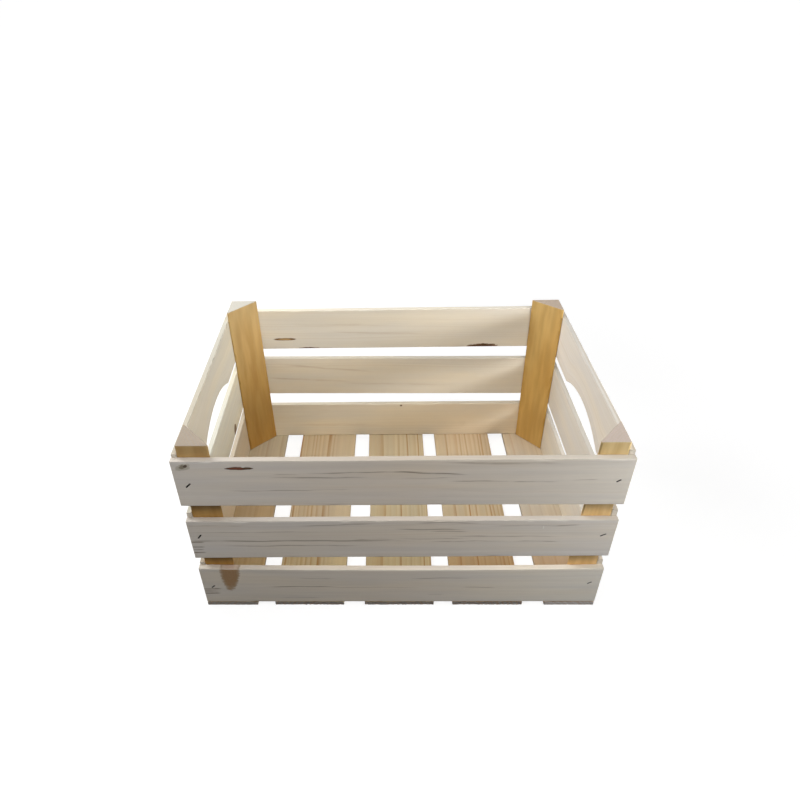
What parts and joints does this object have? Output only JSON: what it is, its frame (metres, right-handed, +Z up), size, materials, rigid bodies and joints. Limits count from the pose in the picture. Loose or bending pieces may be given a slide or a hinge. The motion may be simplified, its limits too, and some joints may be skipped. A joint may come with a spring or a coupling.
{
  "type": "wooden crate",
  "caption": "Open slatted wooden crate: thin boards stapled to triangular corner posts that stand above the rim for stacking, with arched hand scoops in the ends and a gapped board floor.",
  "frame": {"origin": "middle of the footprint, on the ground", "axes": "+X along the length to the right, +Y from front to back, +Z up"},
  "size_m": [0.6, 0.4, 0.3277],
  "materials": {
    "slat_wood": "raw sawn pale softwood",
    "end_wood": "raw sawn pale softwood",
    "floor_wood": "raw sawn softwood with strong dark grain",
    "post_wood": "raw sawn golden softwood",
    "staple_steel": "dull dark wire"
  },
  "bodies": {
    "root": {"front_bottom_slat": "slat_wood", "front_middle_slat": "slat_wood", "front_top_slat": "slat_wood", "back_bottom_slat": "slat_wood", "back_middle_slat": "slat_wood", "back_top_slat": "slat_wood", "left_bottom_end_board": "end_wood", "left_middle_end_board": "end_wood", "left_top_end_board": "end_wood", "right_bottom_end_board": "end_wood", "right_middle_end_board": "end_wood", "right_top_end_board": "end_wood", "front_left_post": "post_wood", "front_right_post": "post_wood", "back_right_post": "post_wood", "back_left_post": "post_wood", "floor_board_left": "floor_wood", "floor_board_mid_left": "floor_wood", "floor_board_middle": "floor_wood", "floor_board_mid_right": "floor_wood", "floor_board_right": "floor_wood", "front_bottom_staple_left": "staple_steel", "front_bottom_staple_right": "staple_steel", "front_middle_staple_left": "staple_steel", "front_middle_staple_right": "staple_steel", "front_top_staple_left": "staple_steel", "front_top_staple_right": "staple_steel", "back_bottom_staple_left": "staple_steel", "back_bottom_staple_right": "staple_steel", "back_middle_staple_left": "staple_steel", "back_middle_staple_right": "staple_steel", "back_top_staple_left": "staple_steel", "back_top_staple_right": "staple_steel", "left_bottom_staple_front": "staple_steel", "left_bottom_staple_back": "staple_steel", "left_middle_staple_front": "staple_steel", "left_middle_staple_back": "staple_steel", "left_top_staple_front": "staple_steel", "left_top_staple_back": "staple_steel", "right_bottom_staple_front": "staple_steel", "right_bottom_staple_back": "staple_steel", "right_middle_staple_front": "staple_steel", "right_middle_staple_back": "staple_steel", "right_top_staple_front": "staple_steel", "right_top_staple_back": "staple_steel", "floor_left_staple_front": "staple_steel", "floor_left_staple_back": "staple_steel", "floor_mid_left_staple_front": "staple_steel", "floor_mid_left_staple_back": "staple_steel", "floor_middle_staple_front": "staple_steel", "floor_middle_staple_back": "staple_steel", "floor_mid_right_staple_front": "staple_steel", "floor_mid_right_staple_back": "staple_steel", "floor_right_staple_front": "staple_steel", "floor_right_staple_back": "staple_steel"}
  },
  "joints": []
}
